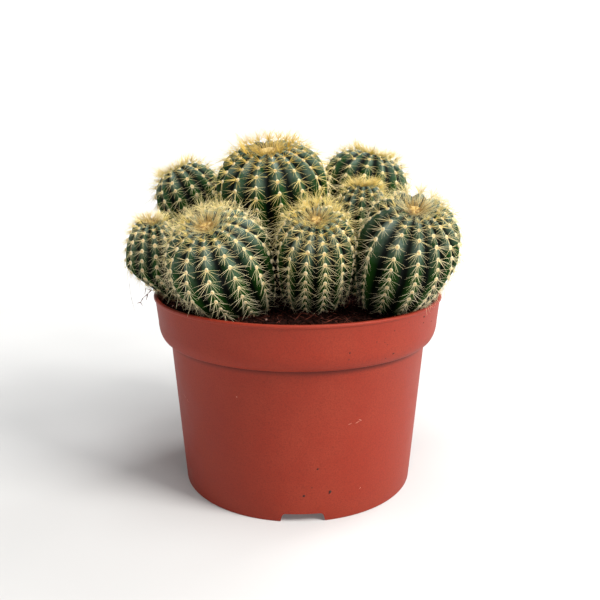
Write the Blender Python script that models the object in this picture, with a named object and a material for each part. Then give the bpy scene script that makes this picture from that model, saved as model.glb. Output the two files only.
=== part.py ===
"""Cluster of round ribbed cactus stems growing in a plain plastic nursery pot.

Metres, +Z up. The pot's axis is the Z axis and its foot stands on z = 0.
The front of the plant faces -Y. Every stem is one closed solid, rooted in a socket in the soil.
"""

import math
from collections import namedtuple

import bmesh
import bpy
from mathutils import Vector

MM = 0.001

# Driving dimensions of the pot, in millimetres.
POT_HEIGHT = 114.6
RIM_RADIUS = 85.0
LIP_HEIGHT = 1.8
LIP_STAND_OUT = 0.8
COLLAR_DROP = 15.0
COLLAR_RADIUS = 82.8
COLLAR_LOWER_Z = 88.6
COLLAR_LOWER_RADIUS = 77.7
BODY_TOP_RADIUS = 76.1
FOOT_RADIUS = 69.4
FOOT_RING_WIDTH = 2.4
FLOOR_UNDERSIDE_Z = 4.4
WALL = 1.4
EDGE_ROUND = 0.5
LIP_RAKE = 0.2
INNER_SHOULDER_DROP = 1.2
NOTCH_HEIGHT = 4.9
NOTCH_TOP_WIDTH = 22.0
NOTCH_BOTTOM_WIDTH = 25.0
NOTCH_DEPTH = 8.0
NOTCH_COUNT = 4
NOTCH_FIRST_ANGLE = math.radians(-87.6)
POT_SEGMENTS = 60

# Driving dimensions of the soil, in millimetres.
SOIL_EDGE_Z = 109.3
SOIL_CENTRE_Z = 111.4
SOIL_EDGE_CLEARANCE = 1.9
SOIL_EDGE_SLOPE = (8.0, 0.8)
SOIL_MOUND_RADIUS = 40.0
SOIL_MOUND_DROP = 0.5
SOIL_SEGMENTS = 48
GAP = 0.3

# Driving dimensions shared by all the stems, in millimetres or as a share of the stem's own size.
STEM_FOOT_Z = 104.0
SHOULDER_EXPONENT = 2.35
FOOT_BEND_POWER = 1.3
CROWN_SINK_SHARE = 0.06
STEM_ROWS = 10
GROOVE_SHARE = 0.15
FOOT_GROOVE_FADE = 0.35
SOCKET_SIDES = 16
SOCKET_ALLOWANCE = 0.1
TUFT_FLATNESS = 0.4
TUFT_CLEARANCE = 0.39

# x, y: where the stem's straight axis meets the foot height. lean, towards: its tilt and the compass
# direction of that tilt in degrees from +X. bend_x, bend_y: how far the foot itself is drawn sideways.
# neck: foot radius as a share of the radius. taper: how suddenly the foot narrows.
# widest: height of the fullest part as a share of the height.
# tuft: radius of the crown wool as a share of the stem's radius.
# turn: angle of the first rib in degrees. uneven: how much the ribs' spacing varies round the stem.
# broad_side: the angle in degrees at which the ribs stand furthest apart.
Stem = namedtuple(
    "Stem",
    "name x y lean towards radius height ribs neck bend_x bend_y taper widest tuft"
    " turn uneven broad_side",
)
STEMS = (
    Stem(
        "front_left", -32.4, -23.6, 36.0, -109.0, 27.7, 71.5, 13,
        0.41, 5.8, 6.2, 1.6, 0.60, 0.16, -145.8, 0.0, 0.0,
    ),
    Stem(
        "front_centre", 9.6, -14.0, 39.5, -90.0, 20.9, 79.5, 13,
        0.46, -0.6, 0.0, 2.5, 0.66, 0.18, -160.6, 0.0, 0.0,
    ),
    Stem(
        "front_right", 57.0, -17.0, 35.0, -87.5, 26.6, 81.0, 13,
        0.38, -8.0, 0.4, 1.8, 0.65, 0.15, 171.4, 0.30, 153.0,
    ),
    Stem(
        "back_centre", -8.0, 26.2, 20.5, -105.0, 32.3, 101.0, 15,
        0.50, -2.4, -3.0, 2.1, 0.76, 0.20, -150.7, 0.0, 0.0,
    ),
    Stem(
        "back_right", 25.0, 54.0, 15.0, 0.0, 28.0, 93.0, 15,
        0.42, 6.0, -9.0, 2.0, 0.76, 0.20, -147.0, 0.0, 0.0,
    ),
    Stem(
        "mid_right", 37.5, 5.0, 4.0, -80.0, 16.3, 74.0, 12,
        0.45, -3.0, 1.0, 2.0, 0.60, 0.20, -128.0, 0.0, 0.0,
    ),
    Stem(
        "back_left", -36.5, 43.0, 28.5, 173.0, 22.5, 91.0, 13,
        0.45, -12.0, -6.0, 2.0, 0.74, 0.20, -127.0, 0.0, 0.0,
    ),
    Stem(
        "far_left", -84.6, -4.0, 17.5, -81.0, 15.6, 57.5, 12,
        0.22, 20.5, 2.0, 1.0, 0.52, 0.20, -133.0, 0.0, 0.0,
    ),
    Stem(
        "rear_left", -29.0, 65.0, 8.0, 120.0, 10.5, 42.0, 10,
        0.45, 1.0, -4.0, 2.0, 0.55, 0.22, 0.0, 0.0, 0.0,
    ),
    Stem(
        "rear_centre", 1.0, 69.0, 6.0, 80.0, 12.0, 48.0, 10,
        0.45, 0.0, -4.0, 2.2, 0.55, 0.22, 0.0, 0.0, 0.0,
    ),
    Stem(
        "rear_right", 76.0, 24.0, 15.0, 10.0, 14.5, 49.0, 12,
        0.20, -22.0, -6.0, 0.9, 0.52, 0.20, 0.0, 0.0, 0.0,
    ),
)


def clear_scene():
    for old in list(bpy.data.objects):
        bpy.data.objects.remove(old, do_unlink=True)


def linear(channel):
    if channel <= 0.04045:
        return channel / 12.92
    return ((channel + 0.055) / 1.055) ** 2.4


def make_material(name, hex_colour, roughness):
    material = bpy.data.materials.new(name)
    material.use_nodes = True
    shader = material.node_tree.nodes["Principled BSDF"]
    channels = [int(hex_colour[i : i + 2], 16) / 255.0 for i in (0, 2, 4)]
    colour = [linear(channel) for channel in channels] + [1.0]
    shader.inputs["Base Color"].default_value = colour
    shader.inputs["Roughness"].default_value = roughness
    shader.inputs["Metallic"].default_value = 0.0
    material.diffuse_color = colour
    return material


def add_object(name, bm, material):
    bmesh.ops.recalc_face_normals(bm, faces=bm.faces[:])
    mesh = bpy.data.meshes.new(name)
    bm.to_mesh(mesh)
    bm.free()
    mesh.materials.append(material)
    thing = bpy.data.objects.new(name, mesh)
    bpy.context.scene.collection.objects.link(thing)
    return thing


def shade_smooth(thing, crease_degrees):
    """Round look, with edges sharper than the given angle kept crisp."""
    mesh = thing.data
    mesh.polygons.foreach_set("use_smooth", [True] * len(mesh.polygons))
    mesh.set_sharp_from_angle(angle=math.radians(crease_degrees))


def revolve(profile, segments):
    """Spin a list of (radius, height) points in millimetres once round the Z axis."""
    bm = bmesh.new()
    verts = [bm.verts.new((radius * MM, 0.0, height * MM)) for radius, height in profile]
    edges = [bm.edges.new(pair) for pair in zip(verts, verts[1:])]
    if profile[0][0] > 0.0:
        edges.append(bm.edges.new((verts[-1], verts[0])))
    bmesh.ops.spin(
        bm,
        geom=verts + edges,
        cent=(0.0, 0.0, 0.0),
        axis=(0.0, 0.0, 1.0),
        angle=2.0 * math.pi,
        steps=segments,
        use_merge=True,
    )
    bmesh.ops.remove_doubles(bm, verts=bm.verts[:], dist=1e-6)
    return bm


def cut(thing, cutter):
    """Take the cutter's volume out of the thing for good, then drop the cutter."""
    modifier = thing.modifiers.new("cut", "BOOLEAN")
    modifier.operation = "DIFFERENCE"
    modifier.solver = "EXACT"
    modifier.object = cutter
    cutter.hide_render = True
    cutter.display_type = "WIRE"
    bpy.context.view_layer.update()
    graph = bpy.context.evaluated_depsgraph_get()
    result = bpy.data.meshes.new_from_object(thing.evaluated_get(graph))
    thing.modifiers.clear()
    thing.data = result
    bpy.data.objects.remove(cutter, do_unlink=True)


def outer_body_radius(height):
    """Radius of the pot's tapering outer wall below the collar."""
    share = height / COLLAR_LOWER_Z
    return FOOT_RADIUS + (BODY_TOP_RADIUS - FOOT_RADIUS) * share


def collar_points(inset, steps):
    """The collar's rounded shoulder from its lower edge up, drawn inwards by the inset."""
    points = []
    rise = POT_HEIGHT - COLLAR_DROP - COLLAR_LOWER_Z
    run = COLLAR_RADIUS - COLLAR_LOWER_RADIUS
    for step in range(steps + 1):
        angle = 0.5 * math.pi * step / steps
        radius = COLLAR_LOWER_RADIUS + run * math.sin(angle) - inset
        height = COLLAR_LOWER_Z + rise * (1.0 - math.cos(angle))
        points.append((radius, height))
    return points


def make_pot(material):
    top_radius = RIM_RADIUS - LIP_STAND_OUT
    lip_lower_z = POT_HEIGHT - LIP_HEIGHT
    floor_top = FLOOR_UNDERSIDE_Z + WALL
    foot_inner = FOOT_RADIUS - FOOT_RING_WIDTH
    profile = [(0.0, FLOOR_UNDERSIDE_Z), (foot_inner, FLOOR_UNDERSIDE_Z), (foot_inner, 0.0)]
    profile += [(FOOT_RADIUS - EDGE_ROUND, 0.0), (FOOT_RADIUS, EDGE_ROUND)]
    profile += [(BODY_TOP_RADIUS, COLLAR_LOWER_Z)]
    profile += collar_points(0.0, 4)
    profile += [(top_radius, lip_lower_z), (RIM_RADIUS, lip_lower_z + LIP_RAKE)]
    profile += [(RIM_RADIUS, POT_HEIGHT - EDGE_ROUND), (RIM_RADIUS - EDGE_ROUND, POT_HEIGHT)]
    profile += [(top_radius - WALL + EDGE_ROUND, POT_HEIGHT)]
    profile += [(top_radius - WALL, POT_HEIGHT - EDGE_ROUND)]
    profile += collar_points(WALL, 3)[::-1]
    profile += [(BODY_TOP_RADIUS - WALL, COLLAR_LOWER_Z - INNER_SHOULDER_DROP)]
    profile += [(outer_body_radius(floor_top) - WALL, floor_top), (0.0, floor_top)]
    pot = add_object("pot", revolve(profile, POT_SEGMENTS), material)
    for index in range(NOTCH_COUNT):
        angle = NOTCH_FIRST_ANGLE + 2.0 * math.pi * index / NOTCH_COUNT
        cut(pot, make_notch_cutter(angle))
    shade_smooth(pot, 35.0)


def make_notch_cutter(angle):
    """Block that cuts one drainage notch through the foot ring, a little wider at the table."""
    bm = bmesh.new()
    bmesh.ops.create_cube(bm, size=1.0)
    for vert in bm.verts:
        upper = vert.co.z > 0.0
        width = NOTCH_TOP_WIDTH if upper else NOTCH_BOTTOM_WIDTH
        vert.co.x = (FOOT_RADIUS - 0.5 * FOOT_RING_WIDTH + vert.co.x * NOTCH_DEPTH) * MM
        vert.co.y = vert.co.y * width * MM
        vert.co.z = (NOTCH_HEIGHT if upper else -1.0) * MM
    cutter = add_object("notch_cutter", bm, None)
    cutter.rotation_euler = (0.0, 0.0, angle)
    return cutter


def axis_direction(stem):
    lean = math.radians(stem.lean)
    towards = math.radians(stem.towards)
    sideways = math.sin(lean)
    return Vector((sideways * math.cos(towards), sideways * math.sin(towards), math.cos(lean)))


def stem_section(stem, latitude):
    """Radius and height along the axis, in millimetres, for a latitude from -90 to +90 degrees."""
    widest = stem.widest * stem.height
    if latitude >= 0.0:
        power = 2.0 / SHOULDER_EXPONENT
        radius = stem.radius * max(math.cos(latitude), 0.0) ** power
        height = widest + (stem.height - widest) * math.sin(latitude) ** power
        return radius, height
    below = -math.sin(latitude)
    radius = stem.radius * (stem.neck + (1.0 - stem.neck) * (1.0 - below**stem.taper))
    return radius, widest * (1.0 - below)


def place_on_axis(stem, radius, height, angle):
    """World position of a point given by radius, height and angle round the stem's bent axis."""
    direction = axis_direction(stem)
    side = Vector((1.0, 0.0, 0.0))
    side = (side - direction * side.dot(direction)).normalized()
    across = direction.cross(side)
    widest = stem.widest * stem.height
    bend = max((widest - height) / widest, 0.0) ** FOOT_BEND_POWER
    centre = Vector((stem.x, stem.y, STEM_FOOT_Z)) + direction * height
    centre += Vector((stem.bend_x, stem.bend_y, 0.0)) * bend
    outward = side * math.cos(angle) + across * math.sin(angle)
    return (centre + outward * radius) * MM


def rib_angle(stem, even_angle):
    """Angle at which a rib or groove stands, from its place in an even division of the circle."""
    angle = even_angle + math.radians(stem.turn)
    return angle + stem.uneven * math.sin(angle - math.radians(stem.broad_side))


def make_stem(stem, material):
    """One ribbed stem: a globe whose columns alternate between rib crest and groove."""
    bm = bmesh.new()
    columns = 2 * stem.ribs
    bmesh.ops.create_uvsphere(bm, u_segments=columns, v_segments=STEM_ROWS, radius=1.0)
    for vert in bm.verts:
        latitude = math.asin(max(-1.0, min(1.0, vert.co.z)))
        angle = math.atan2(vert.co.y, vert.co.x)
        radius, height = stem_section(stem, latitude)
        if vert.co.z > 0.999:
            height -= CROWN_SINK_SHARE * stem.height
        if abs(vert.co.z) > 0.999:
            radius = 0.0
        column = round(angle * columns / (2.0 * math.pi))
        if column % 2:
            rise = 0.5 + 0.5 * vert.co.z
            fade = FOOT_GROOVE_FADE + (1.0 - FOOT_GROOVE_FADE) * rise
            radius *= 1.0 - GROOVE_SHARE * fade
        vert.co = place_on_axis(stem, radius, height, rib_angle(stem, angle))
    thing = add_object("stem_" + stem.name, bm, material)
    shade_smooth(thing, 60.0)


def make_tuft(stem, material):
    """Cushion of wool and young spines lying in the sunken crown."""
    bm = bmesh.new()
    bmesh.ops.create_uvsphere(bm, u_segments=12, v_segments=6, radius=1.0)
    half_width = stem.tuft * stem.radius
    half_height = TUFT_FLATNESS * half_width
    crown = stem.height * (1.0 - CROWN_SINK_SHARE)
    edge_radius, edge_height = stem_section(stem, math.pi * (0.5 - 1.0 / STEM_ROWS))
    slope = (edge_height - crown) / (edge_radius * (1.0 - GROOVE_SHARE))
    middle = crown + math.hypot(half_height, slope * half_width) + TUFT_CLEARANCE
    for vert in bm.verts:
        radius = half_width * math.hypot(vert.co.x, vert.co.y)
        angle = math.atan2(vert.co.y, vert.co.x)
        vert.co = place_on_axis(stem, radius, middle + half_height * vert.co.z, angle)
    thing = add_object("crown_wool_" + stem.name, bm, material)
    shade_smooth(thing, 60.0)


def make_socket_cutter(stem):
    """Smooth plug round the buried foot of a stem, a little larger than the stem itself."""
    bm = bmesh.new()
    bmesh.ops.create_uvsphere(bm, u_segments=SOCKET_SIDES, v_segments=STEM_ROWS, radius=1.0)
    for vert in bm.verts:
        latitude = math.asin(max(-1.0, min(1.0, vert.co.z)))
        angle = math.atan2(vert.co.y, vert.co.x)
        radius, height = stem_section(stem, latitude)
        radius = (radius + GAP) / math.cos(math.pi / SOCKET_SIDES) + SOCKET_ALLOWANCE
        if abs(vert.co.z) > 0.999:
            radius = 0.0
        if vert.co.z < -0.6:
            height -= 1.5 * GAP
        vert.co = place_on_axis(stem, radius, height, angle)
    return add_object("socket_cutter", bm, None)


def make_soil(material):
    """Potting soil filling the pot, slightly mounded, with a socket for each stem's foot."""
    floor_top = FLOOR_UNDERSIDE_Z + WALL
    edge_radius = RIM_RADIUS - LIP_STAND_OUT - WALL - SOIL_EDGE_CLEARANCE
    slope_run, slope_rise = SOIL_EDGE_SLOPE
    profile = [(0.0, floor_top + GAP)]
    profile += [(outer_body_radius(floor_top) - WALL - GAP, floor_top + GAP)]
    profile += [(BODY_TOP_RADIUS - WALL - GAP, COLLAR_LOWER_Z - INNER_SHOULDER_DROP + GAP)]
    profile += [(radius, height + GAP) for radius, height in collar_points(WALL + GAP, 3)]
    profile += [(edge_radius, SOIL_EDGE_Z), (edge_radius - slope_run, SOIL_EDGE_Z + slope_rise)]
    profile += [(SOIL_MOUND_RADIUS, SOIL_CENTRE_Z - SOIL_MOUND_DROP), (0.0, SOIL_CENTRE_Z)]
    soil = add_object("potting_soil", revolve(profile, SOIL_SEGMENTS), material)
    for stem in STEMS:
        cut(soil, make_socket_cutter(stem))
    shade_smooth(soil, 35.0)


def main():
    clear_scene()
    pot_plastic = make_material("terracotta_coloured_plastic", "A8452F", 0.55)
    peat = make_material("dark_peat", "2B1D16", 0.95)
    green_skin = make_material("green_ribbed_skin", "2C4F2A", 0.5)
    gold_wool = make_material("golden_wool_and_young_spines", "C9A24A", 0.85)
    make_pot(pot_plastic)
    make_soil(peat)
    for stem in STEMS:
        make_stem(stem, green_skin)
        make_tuft(stem, gold_wool)


main()
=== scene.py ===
"""Looks for a clump of round ribbed cactus stems in a terracotta-coloured plastic nursery pot.

Metres, +Z up, the pot's axis on Z, the plant's front towards -Y. The CAD nodes are the frame: each one
is replaced here by a finer piece in the same place, and areoles, spines and soil crumbs are added.
"""

import itertools
import math
import random
from collections import namedtuple

import bmesh
import bpy
from bpy.props import FloatProperty, FloatVectorProperty, IntProperty, PointerProperty
from mathutils import Matrix, Vector, noise


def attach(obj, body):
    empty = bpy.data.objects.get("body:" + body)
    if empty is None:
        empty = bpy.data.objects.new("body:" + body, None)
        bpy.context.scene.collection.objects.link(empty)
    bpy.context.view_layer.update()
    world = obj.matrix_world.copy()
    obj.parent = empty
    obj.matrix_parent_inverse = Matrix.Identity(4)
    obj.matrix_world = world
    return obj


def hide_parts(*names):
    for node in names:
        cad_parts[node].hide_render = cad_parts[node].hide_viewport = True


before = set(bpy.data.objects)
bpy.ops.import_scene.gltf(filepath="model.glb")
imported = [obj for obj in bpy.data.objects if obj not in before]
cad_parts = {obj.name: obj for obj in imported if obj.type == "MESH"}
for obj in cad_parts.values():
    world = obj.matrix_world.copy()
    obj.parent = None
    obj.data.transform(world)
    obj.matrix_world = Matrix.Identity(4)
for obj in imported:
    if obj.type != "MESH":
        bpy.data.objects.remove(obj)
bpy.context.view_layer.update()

bl_info = {
    "name": "Potted ribbed cactus",
    "version": (1, 0, 0),
    "blender": (4, 5, 0),
    "location": "3D View > Sidebar > Cactus",
    "description": "Builds a clump of ribbed cactus stems in a plastic nursery pot",
    "category": "Add Mesh",
}

MM = 0.001
BODY = "root"

# The stems' places and sizes, the same as the CAD stems', in millimetres, degrees and shares.
STEM_FOOT_Z = 104.0
SHOULDER_EXPONENT = 2.35
FOOT_BEND_POWER = 1.3
Stem = namedtuple(
    "Stem",
    "name x y lean towards radius height ribs neck bend_x bend_y taper widest tuft"
    " turn uneven broad_side",
    defaults=(0.0, 0.0),
)
STEMS = tuple(Stem(*row) for row in (
    ("front_left", -32.4, -23.6, 36.0, -109.0, 27.7, 71.5, 13, 0.41, 5.8, 6.2, 1.6, 0.60, 0.16, -145.8),
    ("front_centre", 9.6, -14.0, 39.5, -90.0, 20.9, 79.5, 13, 0.46, -0.6, 0.0, 2.5, 0.66, 0.18, -160.6),
    (
        "front_right", 57.0, -17.0, 35.0, -87.5, 26.6, 81.0, 13, 0.38, -8.0, 0.4, 1.8,
        0.65, 0.15, 171.4, 0.30, 153.0,
    ),
    ("back_centre", -8.0, 26.2, 20.5, -105.0, 32.3, 101.0, 15, 0.50, -2.4, -3.0, 2.1, 0.76, 0.20, -150.7),
    ("back_right", 25.0, 54.0, 15.0, 0.0, 28.0, 93.0, 15, 0.42, 6.0, -9.0, 2.0, 0.76, 0.20, -147.0),
    ("mid_right", 37.5, 5.0, 4.0, -80.0, 16.3, 74.0, 12, 0.45, -3.0, 1.0, 2.0, 0.60, 0.20, -128.0),
    ("back_left", -36.5, 43.0, 28.5, 173.0, 22.5, 91.0, 13, 0.45, -12.0, -6.0, 2.0, 0.74, 0.20, -127.0),
    ("far_left", -84.6, -4.0, 17.5, -81.0, 15.6, 57.5, 12, 0.22, 20.5, 2.0, 1.0, 0.52, 0.20, -133.0),
    ("rear_left", -29.0, 65.0, 8.0, 120.0, 10.5, 42.0, 10, 0.45, 1.0, -4.0, 2.0, 0.55, 0.22, 0.0),
    ("rear_centre", 1.0, 69.0, 6.0, 80.0, 12.0, 48.0, 10, 0.45, 0.0, -4.0, 2.2, 0.55, 0.22, 0.0),
    ("rear_right", 76.0, 24.0, 15.0, 10.0, 14.5, 49.0, 12, 0.20, -22.0, -6.0, 0.9, 0.52, 0.20, 0.0),
))

# How golden each stem's spines are, and how long they are as a share of the usual length.
GOLDEN = {
    "front_left": 0.35, "front_centre": 0.5, "front_right": 0.15, "back_centre": 1.0, "back_right": 0.6,
    "mid_right": 0.6, "back_left": 0.45, "far_left": 0.3,
}
USUAL_GOLD = 0.5
SPINE_SHARE = {
    "front_right": 0.92, "back_centre": 1.1, "mid_right": 0.9, "far_left": 0.8, "back_left": 1.05,
    "rear_left": 0.6, "rear_centre": 0.65, "rear_right": 0.6,
}

# The pot's outline, the same as the CAD pot's, in millimetres.
POT_HEIGHT = 114.6
RIM_RADIUS = 85.0
LIP_HEIGHT = 1.8
LIP_STAND_OUT = 0.8
COLLAR_DROP = 15.0
COLLAR_RADIUS = 82.8
COLLAR_LOWER_Z = 88.6
COLLAR_LOWER_RADIUS = 77.7
BODY_TOP_RADIUS = 76.1
FOOT_RADIUS = 69.4
FOOT_RING_WIDTH = 2.4
FLOOR_UNDERSIDE_Z = 4.4
WALL = 1.4
NOTCH_HEIGHT = 4.9
NOTCH_TOP_WIDTH = 22.0
NOTCH_BOTTOM_WIDTH = 25.0
NOTCH_DEPTH = 8.0
NOTCH_CORNER = 1.6
NOTCH_COUNT = 4
NOTCH_FIRST_ANGLE = math.radians(-87.6)
SOIL_EDGE_Z = 109.3
SOIL_CENTRE_Z = 111.4
POT_SEGMENTS = 192
SOIL_SEGMENTS = 180
SOIL_RINGS = 52

# Marks on the pot's wall: angle round the pot in degrees, height, length, width, slant in degrees.
DIRT_SPECKS = (
    (-36.1, 110.1, 1.5, 0.8, 10.0), (-27.9, 104.9, 0.7, 0.6, 0.0), (-35.8, 106.7, 0.7, 0.6, 30.0),
    (-53.4, 107.2, 0.6, 0.5, 0.0), (-61.0, 102.9, 0.6, 0.5, 60.0), (-56.1, 100.2, 0.5, 0.5, 0.0),
    (-57.4, 101.8, 0.5, 0.4, 0.0), (-71.5, 98.7, 1.2, 0.5, 80.0), (-71.7, 95.2, 0.7, 0.6, 0.0),
    (-56.1, 92.7, 0.6, 0.5, 15.0), (-52.7, 94.6, 1.3, 0.7, 20.0), (-81.4, 32.2, 1.2, 0.8, 40.0),
    (-75.7, 17.5, 2.4, 1.2, 70.0), (-87.2, 16.2, 1.5, 1.1, 20.0),
)
PALE_SCUFFS = (
    (-64.2, 57.0, 3.6, 0.35, 25.0), (-63.4, 58.0, 2.4, 0.30, -30.0), (-67.9, 56.6, 2.2, 0.25, 12.0),
    (-150.2, 60.4, 5.0, 0.25, -20.0), (-147.5, 58.9, 2.5, 0.20, -24.0), (-115.1, 71.5, 0.6, 0.5, 0.0),
    (-61.0, 16.3, 1.4, 0.25, 35.0),
)
# A dried root over the rim and a loose hair: the width, then the points it runs through.
HANGING_ROOT = (
    (0.42, ((-82.5, -9.0, 115.6), (-86.2, -9.5, 115.9), (-88.4, -9.8, 113.6), (-89.2, -10.0, 110.2))),
    (0.32, ((-88.4, -9.8, 113.6), (-91.2, -10.0, 111.2), (-92.6, -10.2, 108.8), (-94.6, -10.2, 108.2))),
    (0.28, ((-92.6, -10.2, 108.8), (-91.6, -10.2, 106.8))),
    (0.28, ((-86.2, -9.5, 115.9), (-89.4, -9.0, 116.8), (-90.2, -9.0, 113.2))),
)
LOOSE_HAIR = (
    (0.10, ((-98.2, -6.0, 127.0), (-99.6, -6.5, 119.0), (-98.8, -7.0, 111.0), (-97.0, -7.5, 103.5))),
)
STRAND_OVERLAP = 1.04
# An angular lump is smaller than its stated size by this.
MARK_FULLNESS = 1.3

# The skin's mesh and the fine shape of its ribs, as shares of the radius or of half a rib's width.
COLUMNS_PER_RIB = 12
SKIN_ROWS = 72
CROWN_SINK = 0.05
CROWN_PIT = 0.24
GROOVE_FADE_POWER = 2.0
CREST_ROUNDING = 0.012
CREASE_DEPTH = 0.10
CREASE_WIDTH = 0.12
SKIN_WOBBLE = 0.012

# The walk down a rib that sets its areoles: latitudes in degrees, lengths in millimetres.
WALK_TOP = 88.0
WALK_STEP = 0.75
WALK_COUNT = 235
ROW_STAGGER = 0.9
YOUNG_SPACING_SHARE = 0.36
YOUNG_LENGTH = 14.0
PAD_FIRST_AGE = 0.10

# The crown's cushion of wool: shares of its half width or half height, and its hairs.
CUSHION_FLATNESS = 0.4
CUSHION_RISE = 0.35
CUSHION_LUMPS = 0.12
DIMPLE_DEPTH = 0.55
DIMPLE_WIDTH = 0.35
WOOL_DARKEST = 1.3
WOOL_GOLD_FADE = 0.7
FEWEST_HAIRS = 60
HAIRS_PER_SQUARE_MM = 4.5
HAIR_RADIUS = 0.2

# How an areole's spines spread. side: number on each side of the rib. low, high: their lift off the
# skin in degrees. down, up: how far they swing below and above straight sideways, in degrees.
# middle: number of stout middle spines. reach: length as a share of the usual length.
# until: age along the rib, 0 at the crown and 1 at the foot, up to which this spread is used.
Spread = namedtuple("Spread", "side low high down up middle middle_low middle_high reach until")
SPREADS = {
    "crown": Spread(7, 38.0, 74.0, 88.0, 25.0, 3, 55.0, 82.0, 0.92, 0.12),
    "young": Spread(5, 14.0, 42.0, 66.0, 30.0, 2, 40.0, 70.0, 1.0, 0.24),
    "grown": Spread(4, 6.0, 28.0, 72.0, 12.0, 2, 26.0, 56.0, 1.08, 0.62),
    "old": Spread(3, 6.0, 26.0, 76.0, 0.0, 1, 24.0, 46.0, 1.05, math.inf),
}
SPINE_TIP_SHARE = 0.25
TUFT_VARIANTS = 9
# The brush round the crown: where it starts and ends as latitudes, and how many spines it has for
# each millimetre of the stem's radius; a stem with less golden spines has more of them.
BRUSH_LOW = 64.0
BRUSH_HIGH = 86.0
BRUSH_SPINES_PER_MM = 8.0
BRUSH_PALE_STEM = 1.7
# Nearer than this to another stem most tufts are worn away; up to the wider gap they are shorter.
WORN_GAP = 5.0
SHORT_GAP = 8.0
WORN_SHARE = 0.92
SHORT_SCALE = 0.8
# Where up a stem the balls stand that measure gaps, as latitudes.
BALL_LATITUDES = range(-60, 75, 12)

# The stage: each light's place, target, width, height, power and colour; the floor in millimetres.
LIGHTS = (
    ("key_right", (1.30, -0.80, 1.30), (0.0, 0.0, 0.10), 0.7, 0.7, 50.0, (1.0, 0.98, 0.95)),
    ("top", (0.15, -0.25, 1.50), (0.0, 0.0, 0.10), 0.7, 0.7, 13.0, (1.0, 1.0, 1.0)),
    ("back", (1.0, 0.8, 1.1), (0.0, 0.0, 0.16), 0.7, 0.6, 13.0, (1.0, 1.0, 1.0)),
)
WORLD_STRENGTH = 0.04
FLOOR_RADIUS = 1800.0
FLOOR_CURVE = 900.0
CAMERA_SIDE = 1.34 * MM

# The soil's open surface: its reach from the pot's axis, and the top of what counts as a stem's foot.
SOIL_REACH = 80.0
STEM_FOOT_TOP = 118.0

Z_AXIS = Vector((0.0, 0.0, 1.0))
FROM_MM = Matrix.Scale(MM, 4)
# Keeps the noise on one stem apart from the noise on another.
SHIFT = Vector((0.13, 0.29, 0.37))


# ---------------------------------------------------------------- settings


def srgb(hex_colour):
    """Linear colour with alpha from an sRGB hex value."""
    channels = [int(hex_colour[i : i + 2], 16) / 255.0 for i in (0, 2, 4)]
    low = [c / 12.92 for c in channels]
    high = [((c + 0.055) / 1.055) ** 2.4 for c in channels]
    return [low[i] if channels[i] <= 0.04045 else high[i] for i in range(3)] + [1.0]


def length_setting(name, description, default):
    return FloatProperty(name=name, description=description, default=default, unit="LENGTH")


def share_setting(name, description, default):
    return FloatProperty(name=name, description=description, default=default, min=0.0, max=1.0)


def colour_setting(name, description, hex_colour):
    return FloatVectorProperty(
        name=name, description=description, subtype="COLOR", size=3,
        default=srgb(hex_colour)[:3], min=0.0, max=1.0,
    )


class CactusPlantSizes(bpy.types.PropertyGroup):
    crown_groove: share_setting("Groove at the crown", "Groove depth as a share of the radius", 0.33)
    foot_groove: share_setting("Groove at the foot", "Groove depth as a share of the radius", 0.03)
    areole_spacing: length_setting("Areole spacing", "Distance between grown areoles on a rib", 5.9 * MM)
    areole_width: length_setting("Areole width", "Width of a grown areole's pad of wool", 2.35 * MM)
    spine_length: length_setting("Spine length", "Length of a grown side spine", 7.6 * MM)
    spine_width: length_setting("Spine width", "Width of a spine at its root", 0.25 * MM)
    seed: IntProperty(
        name="Seed", description="Start of the random numbers that scatter spines and crumbs", default=7,
    )


class CactusColours(bpy.types.PropertyGroup):
    # The deep skin colour is painted shade: the near-black that fills the grooves.
    skin_deep: colour_setting("Deep skin", "Skin in the grooves", "020603")
    skin_green: colour_setting("Green skin", "Skin of the flanks", "0A380B")
    # The grey-blue colour is partly real wax and partly painted sheen.
    skin_bloom: colour_setting("Waxy bloom", "Grey-blue wax on young flanks", "84918A")
    pot: colour_setting("Pot plastic", "Colour of the moulded pot", "8F2B17")


class CactusStageSettings(bpy.types.PropertyGroup):
    camera_distance: length_setting("Camera distance", "Level distance from the pot's axis", 0.4194)
    camera_height: length_setting("Camera height", "Height of the camera over the floor", 0.2052)
    camera_pitch: FloatProperty(
        name="Camera pitch", description="How far the camera looks down",
        default=math.radians(13.08), unit="ROTATION",
    )
    lens: FloatProperty(
        name="Lens", description="Focal length in millimetres on a 36 mm wide sensor", default=42.8,
    )


# ---------------------------------------------------------------- materials


def add_node(tree, kind, sockets=None, stops=None, **settings):
    """Add a node: its settings, its socket values or links, and for a ramp its colour stops."""
    node = tree.nodes.new(kind)
    for name, value in settings.items():
        setattr(node, name, value)
    for socket, value in (sockets or {}).items():
        if isinstance(value, bpy.types.NodeSocket):
            tree.links.new(value, node.inputs[socket])
        else:
            node.inputs[socket].default_value = value
    for index, (place, colour) in enumerate(stops or ()):
        elements = node.color_ramp.elements
        element = elements[index] if index < 2 else elements.new(place)
        element.position = place
        element.color = colour
    return node


def new_material(name):
    """An empty node material, its node tree and the piece's own coordinates in metres."""
    material = bpy.data.materials.new(name)
    material.use_nodes = True
    tree = material.node_tree
    tree.nodes.clear()
    return material, tree, add_node(tree, "ShaderNodeTexCoord").outputs["Object"]


def close_material(material, sockets):
    """Give a material its shader, with these sockets, and its output."""
    tree = material.node_tree
    shader = add_node(tree, "ShaderNodeBsdfPrincipled", sockets)
    add_node(tree, "ShaderNodeOutputMaterial", {"Surface": shader.outputs["BSDF"]})
    return material


def stored_value(tree, name):
    """The number that a mesh keeps for each vertex under a name."""
    return add_node(tree, "ShaderNodeAttribute", attribute_name=name).outputs["Fac"]


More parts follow.
